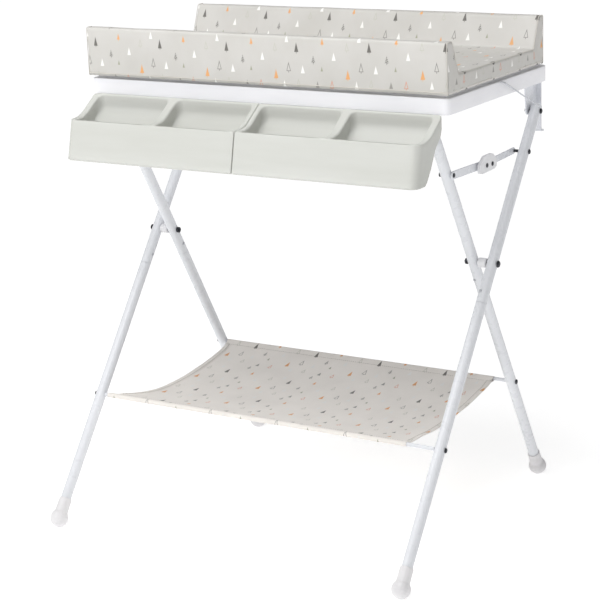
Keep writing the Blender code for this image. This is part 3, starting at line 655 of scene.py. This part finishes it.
def shelf_line():
    """The cloth's path in Y and Z: under the front rod, round it, across to the rear rod, round that and back."""
    r = ROD + CLOTH_T / 2 + 0.0004
    pts = [(yf + TAIL + 0.004, zf - 0.0036), (yf + TAIL * 0.6, zf - 0.0041)]
    pts += [(yf + r * math.cos(a), zf + r * math.sin(a)) for a in (math.radians(-75 - 26 * k) for k in range(9))]
    pts += [(yf + TAIL * 0.55, zf + r - 0.0020), (yf + TAIL, zf - 0.0012)]
    n = 30
    y0, z0, y1, z1 = yf + TAIL, zf - 0.0012, yr - TAIL, zr - 0.0012
    for k in range(1, n):
        t = k / n
        pts.append((y0 + (y1 - y0) * t, z0 + (z1 - z0) * t - SAG * 4 * t * (1 - t)))
    pts += [(y1, z1), (yr - TAIL * 0.55, zr + r - 0.0020)]
    pts += [(yr + r * math.cos(a), zr + r * math.sin(a)) for a in (math.radians(103 - 26 * k) for k in range(8))]
    pts += [(yr - TAIL * 0.6, zr - 0.0041), (yr - TAIL - 0.004, zr - 0.0036)]
    return np.array(pts)


line = shelf_line()
arc = np.concatenate([[0], np.cumsum(np.linalg.norm(np.diff(line, axis=0), axis=1))])
lower_f, lower_r = 2, len(line) - 2      # rows of the under layers, hidden below the upper one
COLS = 72
verts, uvs_v = [], []
for i, (y, z) in enumerate(line):
    t = (y - yf) / (yr - yf)
    for k in range(COLS + 1):
        w = -1 + 2 * k / COLS
        half = shelf_half(t, 1 if w > 0 else -1)
        x = w * half
        span = min(1.0, max(0.0, (y - yf - TAIL) / 0.05)) * min(1.0, max(0.0, (yr - TAIL - y) / 0.05))
        belly = -0.004 * span * (1 - w * w)
        edge = math.exp(-(1 - abs(w)) * half / 0.045)
        pull = 0.0016 * span * math.sin(x * 70 + 5 * noise.noise(Vector((x * 4, 0.3, 0.1)))) * math.exp(-min(y - yf, yr - y) / 0.07)
        ripple = 0.0024 * span * noise.noise(Vector((x * 7, y * 5, 0.7))) + 0.0010 * span * noise.noise(Vector((x * 22, y * 14, 3.1)))
        curl = 0.0050 * edge * span
        verts.append((x, y, z + belly + pull + ripple + curl))
faces, uvs = [], []
for i in range(len(line) - 1):
    for k in range(COLS):
        a = i * (COLS + 1) + k
        q = (a, a + 1, a + COLS + 2, a + COLS + 1)
        faces.append(q)
        for v in q:
            row = v // (COLS + 1)
            uvs.append((verts[v][0] + 0.41, arc[row] + 0.03))
shelf = make("shelf_cloth", verts, faces, SHELF_CLOTH, weld=0, uvs=uvs)
s = shelf.modifiers.new("cloth", "SOLIDIFY")
s.thickness, s.offset = CLOTH_T, 0.0
s = shelf.modifiers.new("smooth", "SUBSURF")
s.levels = s.render_levels = 1


def surface_z(x, y):
    """Height of the cloth's upper layer, from the built grid."""
    best = None
    for i in range(11, len(line) - 10):
        if line[i][0] <= y <= line[i + 1][0]:
            best = i
            break
    if best is None:
        return None
    t = (y - line[best][0]) / (line[best + 1][0] - line[best][0])
    zz = []
    for row in (best, best + 1):
        r = np.array(verts[row * (COLS + 1):(row + 1) * (COLS + 1)])
        zz.append(np.interp(x, r[:, 0], r[:, 2]))
    return float(zz[0] * (1 - t) + zz[1] * t)


# hems: a folded strip along each side, and sewn lines along the hems and the two sleeves
hems = []
ys = np.linspace(yf + TAIL + 0.001, yr - TAIL - 0.001, 60)
for side in (-1, 1):
    strip_v, strip_f = [], []
    for y in ys:
        half = shelf_half((y - yf) / (yr - yf), side)
        for off, lift in ((0.0130, 0.0003), (0.0124, 0.0011), (0.0070, 0.0013), (0.0012, 0.0012), (-0.0004, 0.0003)):
            x = side * (half - off)
            z = surface_z(side * min(half - off, half), y)
            strip_v.append((x, y, z + lift))
        for off, lift in ((-0.0004, -0.0006), (0.0130, -0.0006)):
            x = side * (half - off)
            strip_v.append((x, y, surface_z(side * min(half - off, half), y) + lift))
    for i in range(len(ys) - 1):
        for k in range(7):
            a, b = i * 7 + k, i * 7 + (k + 1) % 7
            strip_f.append((a, b, b + 7, a + 7))
    strip_f.append(tuple(range(7)))
    strip_f.append(tuple((len(ys) - 1) * 7 + k for k in range(7))[::-1])
    hems.append((strip_v, strip_f))
v, f = gather(hems)
hem_uv = [(v[i][0] + 0.41, v[i][1] + 0.25) for q in f for i in q]
hem = make("shelf_hems", v, f, SHELF_CLOTH, weld=0, uvs=hem_uv)

stitches = []
STITCH, GAP = 0.0034, 0.0016


def stitch(a, b):
    a, b = Vector(a), Vector(b)
    d = (b - a)
    pts = [a, a + d * 0.15 + Vector((0, 0, 0.00035)), a + d * 0.85 + Vector((0, 0, 0.00035)), b]
    stitches.append(sweep([tuple(p) for p in pts], 0.00034, 5))


for side in (-1, 1):
    y = ys[0] + 0.002
    while y + STITCH < ys[-1]:
        q = []
        for yy in (y, y + STITCH):
            half = shelf_half((yy - yf) / (yr - yf), side)
            q.append((side * (half - 0.0105), yy, surface_z(side * (half - 0.0105), yy) + 0.0013))
        stitch(*q)
        y += STITCH + GAP
for y_seam in (yf + TAIL + 0.0015, yr - TAIL - 0.0015):
    t = (y_seam - yf) / (yr - yf)
    x = -shelf_half(t, -1) + 0.014
    while x + STITCH < shelf_half(t, 1) - 0.014:
        stitch((x, y_seam, surface_z(x, y_seam) + 0.0006), (x + STITCH, y_seam, surface_z(x + STITCH, y_seam) + 0.0006))
        x += STITCH + GAP
v, f = gather(stitches)
sewn = make("shelf_stitching", v, f, THREAD, weld=0)

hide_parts("shelf_fabric")
for piece in (shelf, hem, sewn):
    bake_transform(piece)


# ---------------------------------------------------------------- moulded table top
t_lo, t_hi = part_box("table_top")


def top_row(inset, z, inside=False):
    """Points round the top at one height, with its front corners tighter than its rear ones."""
    x0, x1, y0, y1 = t_lo.x + inset, t_hi.x - inset, t_lo.y + inset, t_hi.y - inset
    r = [max(q - inset, 0.002) for q in (0.012, 0.012, 0.020, 0.020)]
    corners = rounded([(x0, y0), (x1, y0), (x1, y1), (x0, y1)], r, 8)
    dense = []
    for a, b in zip(corners, corners[1:] + corners[:1]):
        a, b = Vector(a), Vector(b)
        n = 24 if (b - a).length > 0.2 else 1
        dense += [tuple(a.lerp(b, j / n)) for j in range(n)]
    return [(x, y, z) for x, y in dense]


TZ0, TZ1, LIP = t_lo.z - 0.0024, t_hi.z, 0.0009
# the deck stands up out of a narrow ledge, so the mat's front edge has a dark gap under it
rows = [top_row(0.0112, TZ1), top_row(0.0106, TZ1 - 0.0005), top_row(0.0104, TZ1 - 0.0040), top_row(0.0098, TZ1 - 0.0048)]
for a in (90, 60, 30, 0):
    a = math.radians(a)
    rows.append(top_row(0.0016 * (1 - math.cos(a)) if a < 1.5 else 0.0018, TZ1 - 0.0066 + 0.0016 * math.sin(a)))
rows += [top_row(0.0, TZ1 - 0.0150), top_row(0.0, TZ0 + 0.0150), top_row(0.0, TZ0 + LIP)]
for a in (30, 60, 90):
    a = math.radians(a)
    rows.append(top_row(LIP * 0.8 * (1 - math.cos(a)), TZ0 + LIP * (1 - math.sin(a))))
rows += [top_row(0.0024, TZ0), top_row(0.0031, TZ0 + 0.0009), top_row(0.0033, TZ0 + 0.0100), top_row(0.0038, TZ1 - 0.0115), top_row(0.0060, TZ1 - 0.0082), top_row(0.0120, TZ1 - 0.0055)]
m = len(rows[0])
verts = [q for r in rows for q in r]
faces = [(j * m + i, (j + 1) * m + i, (j + 1) * m + (i + 1) % m, j * m + (i + 1) % m) for j in range(len(rows) - 1) for i in range(m)]
faces += [tuple(range(m)), tuple((len(rows) - 1) * m + i for i in range(m))[::-1]]
top = make("moulded_top", verts, faces, TOP, weld=0, sharp=50)
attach(top, "top")
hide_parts("table_top")


# ---------------------------------------------------------------- storage bins
Z_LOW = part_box("bin_right")[0].z
RIM_Y = (-0.2480, -0.2370, -0.2180, -0.2050, -0.1930, -0.1830, -0.1720, -0.1620, -0.1540, -0.1470, -0.1380)
RIM_Z = (0.8165, 0.8165, 0.8167, 0.8185, 0.8235, 0.8300, 0.8375, 0.8440, 0.8500, 0.8544, 0.8554)
RIM_REAR = -0.1409


def rim_z(y):
    return float(np.interp(y, RIM_Y, RIM_Z))


def rear_y(t, inside):
    """The rear wall leans back as it rises, with t from the bottom to the rim."""
    z = Z_LOW + t * (0.8554 - Z_LOW)
    if inside:
        return float(np.interp(z, (0.7440, 0.7530, 0.7640, 0.7720, 0.7850, 0.8000, 0.8140, 0.8280, 0.8554), (-0.2110, -0.2041, -0.1956, -0.1897, -0.1825, -0.1743, -0.1612, -0.1479, -0.1475)))
    return float(np.interp(z, (Z_LOW, 0.7480, 0.7580, 0.7700, 0.7845, 0.7990, 0.8130, 0.8260, 0.8554), (-0.2080, -0.2005, -0.1930, -0.1843, -0.1768, -0.1688, -0.1550, -0.1415, -0.1409)))


def ring(x0, x1, y0, y1, radii, spread, nx=18, ny=12, seg=8):
    """Points round a rectangle from its front left corner, always as many and in the same order. radii are front left, front right, rear right, rear left."""
    cs = [((x0, y0), (0, 1), (1, 0)), ((x1, y0), (-1, 0), (0, 1)), ((x1, y1), (0, -1), (-1, 0)), ((x0, y1), (1, 0), (0, -1))]
    out = []
    for i, (c, u, w) in enumerate(cs):
        r = max(0.0, min(radii[i], spread))
        c, u, w = np.array(c, float), np.array(u, float), np.array(w, float)
        # the corner is entered along u and left along w
        total = 2 * (spread - r) + r * math.pi / 2
        for k in range(seg + 1):
            s = total * k / seg
            if s <= spread - r:
                p = c + u * (spread - s)
            elif s >= total - (spread - r):
                p = c + w * (spread - (total - s))
            else:
                a = (s - (spread - r)) / r
                centre = c + u * r + w * r
                p = centre - w * r * math.cos(a) - u * r * math.sin(a)
            out.append(p)
        nxt = cs[(i + 1) % 4]
        end = np.array(nxt[0], float) + np.array(nxt[1], float) * spread
        n = nx if i % 2 == 0 else ny
        for k in range(1, n):
            out.append(p + (end - p) * k / n)
    return np.array(out)


def bin_cell(x0, x1, open_left, open_right, r_left, r_right, pocket):
    """One half of a bin: outer wall, rim and pocket. An open side is where it joins the other half."""
    rows = []
    SP = 0.0185
    lip_out, lip_in = 0.0026, 0.0038
    flare = 0.0012

    def outer(t, inset, dz, z_abs=None):
        k = 1 - t
        a = x0 if open_left else x0 + inset - (flare * k if r_left > 0.01 else 0)
        b = x1 if open_right else x1 - inset + (flare * k if r_right > 0.01 else 0)
        yfr = -0.2538 + 0.0168 * t + inset
        yre = rear_y(t, False) - inset
        rr = [0 if open_left else max(r_left - inset, 0.001), 0 if open_right else max(r_right - inset, 0.001),
              0 if open_right else max(r_right * 0.7 - inset, 0.001), 0 if open_left else max(r_left * 0.7 - inset, 0.001)]
        p = ring(a, b, yfr, yre, rr, SP)
        top = ring(x0 if open_left else x0 + inset, x1 if open_right else x1 - inset, -0.2370 + inset, RIM_REAR - inset, rr, SP)
        z = np.array([Z_LOW + t * (rim_z(y) - Z_LOW) for y in top[:, 1]]) if z_abs is None else np.full(len(p), z_abs)
        mid = x0 if open_left else x1 if open_right else None
        for i in range(len(p)):
            on_mid = mid is not None and abs(p[i, 0] - mid) < 1e-7 and p[i, 1] > yfr + 1e-6 and p[i, 1] < yre - 1e-6
            z[i] += 0 if on_mid else dz
        return np.column_stack([p, z])

    for k in range(5):        # bottom edge
        a = math.pi / 2 * k / 4
        rows.append(outer(0.0, 0.0034 * (1 - math.sin(a)), 0, Z_LOW + 0.0034 * (1 - math.cos(a))))
    t0 = 0.062
    for k in range(11):       # wall
        t = t0 + (1 - t0) * k / 10
        rows.append(outer(t, 0.0, -lip_out * min(1.0, k / 10)))
    for k in range(1, 4):     # outer lip
        a = math.pi / 2 * k / 3
        rows.append(outer(1.0, lip_out * (1 - math.cos(a)), -lip_out * (1 - math.sin(a))))
    rows.append(outer(1.0, lip_out + 0.0005, 0))

    px0, px1 = pocket

    def inner(t, inset, dz, z_abs=None):
        k = (1 - t) * 0.0045
        yfr, yre = -0.2480 + 0.0160 * t + inset, rear_y(t, True) - inset
        rr = [0.0125 - min(inset, 0.006)] * 4
        if yre - yfr < 0.028:
            rr = [0.009] * 4
        p = ring(px0 + k + inset, px1 - k - inset, yfr, yre, rr, 0.0132 if yre - yfr > 0.029 else (yre - yfr) * 0.46)
        top = ring(px0 + inset, px1 - inset, -0.2320 + inset, -0.1475 - inset, [0.0125] * 4, 0.0132)
        z = np.array([Z_LOW + 0.005 + t * (rim_z(y) - Z_LOW - 0.005) for y in top[:, 1]]) + dz if z_abs is None else np.full(len(p), z_abs)
        return np.column_stack([p, z])

    rows.append(inner(1.0, -lip_in - 0.0004, 0))
    for k in range(4):        # inner lip
        a = math.pi / 2 * k / 3
        rows.append(inner(1.0, -lip_in * (1 - math.sin(a)), -lip_in * (1 - math.cos(a))))
    for k in range(1, 12):    # pocket wall
        t = 1 - k / 12
        rows.append(inner(t, 0.0, -lip_in * t))
    for k in range(1, 5):     # pocket floor's edge
        a = math.pi / 2 * k / 4
        rows.append(inner(0.0, 0.0075 * (1 - math.cos(a)), 0, Z_LOW + 0.005 + 0.0075 * (1 - math.sin(a))) if k else None)
    m = len(rows[0])
    verts = [tuple(p) for r in rows for p in r]
    faces = []
    mid = x0 if open_left else x1 if open_right else None
    for j in range(len(rows) - 1):
        for i in range(m):
            k = (i + 1) % m
            q = (j * m + i, j * m + k, (j + 1) * m + k, (j + 1) * m + i)
            if mid is not None and all(abs(verts[v][0] - mid) < 1e-7 for v in q):
                continue
            faces.append(q)
    faces.append(tuple(range(m))[::-1])
    faces.append(tuple((len(rows) - 1) * m + i for i in range(m)))
    return verts, faces


END, DIV = 0.0150, (0.1850, 0.2040)
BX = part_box("bin_right")[1].x
BAR_Y, BAR_Z, BAR_R = -0.1243, 0.8343, 0.0110
for side, sx in SIDES:
    mid = (DIV[0] + DIV[1]) / 2
    near, far = 0.00045, BX
    if sx > 0:
        cells = [bin_cell(near, mid, False, True, 0.003, 0.0, (near + END * 0.7, DIV[0])), bin_cell(mid, far, True, False, 0.0, 0.017, (DIV[1], far - END))]
    else:
        cells = [bin_cell(-mid, -near, True, False, 0.0, 0.003, (-DIV[0], -near - END * 0.7)), bin_cell(-far, -mid, False, True, 0.017, 0.0, (-far + END, -DIV[1]))]
    v, f = gather(cells)
    box = make("storage_bin_" + side, v, f, BIN, weld=2e-5, sharp=60)
    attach(box, "bin_box_" + side)
    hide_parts("bin_" + side)
    # hooks that hang the bin on the cross bar
    hooks = []
    for hx in (0.060, 0.285):
        ri, ro = BAR_R + 0.0006, 0.0138
        arcs = [math.radians(175 - k * 9.2) for k in range(11)]
        loop = [(BAR_Y + ro * math.cos(a), BAR_Z + ro * math.sin(a)) for a in arcs] + [(BAR_Y + ri * math.cos(a), BAR_Z + ri * math.sin(a)) for a in arcs[::-1]]
        loop = [(-0.1425, 0.8290), (-0.1425, 0.8430)] + loop[2:] + [(-0.1388, 0.8290)]
        a, b = sorted((sx * hx, sx * (hx + 0.040)))
        n = len(loop)
        cut = [(a, 0.0008), (a + 0.0008, 0.0), (b - 0.0008, 0.0), (b, 0.0008)]
        c = np.mean(np.array(loop), 0)
        hv = [(x, y + (c[0] - y) * i * 8, z + (c[1] - z) * i * 8) for x, i in cut for y, z in loop]
        hf = [(j * n + i, j * n + (i + 1) % n, (j + 1) * n + (i + 1) % n, (j + 1) * n + i) for j in range(3) for i in range(n)]
        hf += [tuple(range(n))[::-1], tuple(3 * n + i for i in range(n))]
        hooks.append((hv, hf))
    v, f = gather(hooks)
    hook = make("bin_hooks_" + side, v, f, BIN, weld=0, sharp=40)
    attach(hook, "bin_box_" + side)


# ---------------------------------------------------------------- camera
cam_data = bpy.data.cameras.new("camera")
cam_data.lens, cam_data.sensor_width = 112.836, 36.0
cam_data.clip_start, cam_data.clip_end = 0.05, 100.0
cam = bpy.data.objects.new("camera", cam_data)
scene.collection.objects.link(cam)
cam.matrix_world = Matrix(((0.85684, -0.10777, 0.50419, 1.90189), (0.51442, 0.24434, -0.82199, -3.12353), (-0.03461, 0.96368, 0.26480, 1.43657), (0, 0, 0, 1)))
scene.camera = cam

# ---------------------------------------------------------------- floor and light
floor_mesh = bpy.data.meshes.new("floor")
floor_mesh.from_pydata([(-40, -40, 0), (40, -40, 0), (40, 40, 0), (-40, 40, 0)], [], [(0, 1, 2, 3)])
floor = bpy.data.objects.new("floor", floor_mesh)
scene.collection.objects.link(floor)
m, nt, b = new_material("floor_paper")
b.inputs["Base Color"].default_value = (0.93, 0.93, 0.93, 1.0)
b.inputs["Roughness"].default_value = 0.9
b.inputs["Specular IOR Level"].default_value = 0.1
b.inputs["Emission Color"].default_value = (1.0, 1.0, 1.0, 1.0)
away = nt.nodes.new("ShaderNodeVectorMath")
away.operation = "LENGTH"
nt.links.new(object_coord(nt), away.inputs[0])
nt.links.new(ramp(nt, away.outputs["Value"], 1.6, 5.0, 0.48, 0.66, smooth=True), b.inputs["Emission Strength"])
floor_mesh.materials.append(m)

world = bpy.data.worlds.new("studio")
scene.world = world
world.use_nodes = True
world.node_tree.nodes["Background"].inputs["Color"].default_value = (1.0, 1.0, 1.0, 1.0)
world.node_tree.nodes["Background"].inputs["Strength"].default_value = 0.40


def softbox(name, at, to, size, power, colour=(1.0, 1.0, 1.0)):
    data = bpy.data.lights.new(name, "AREA")
    data.shape, data.size, data.size_y = "RECTANGLE", size[0], size[1]
    data.energy, data.color = power, colour
    obj = bpy.data.objects.new(name, data)
    scene.collection.objects.link(obj)
    obj.location = at
    obj.rotation_mode = "QUATERNION"
    obj.rotation_quaternion = (Vector(to) - Vector(at)).to_track_quat("-Z", "Y")


softbox("key", (-1.9, -3.2, 2.6), (0, 0, 0.6), (2.0, 2.0), 34)
softbox("fill", (3.2, -1.6, 1.8), (0, 0, 0.6), (2.0, 2.0), 1)
softbox("top", (-0.2, -1.5, 3.4), (0, 0, 0.4), (2.6, 2.2), 68)
scene.view_settings.view_transform = "Standard"
scene.view_settings.look = "None"
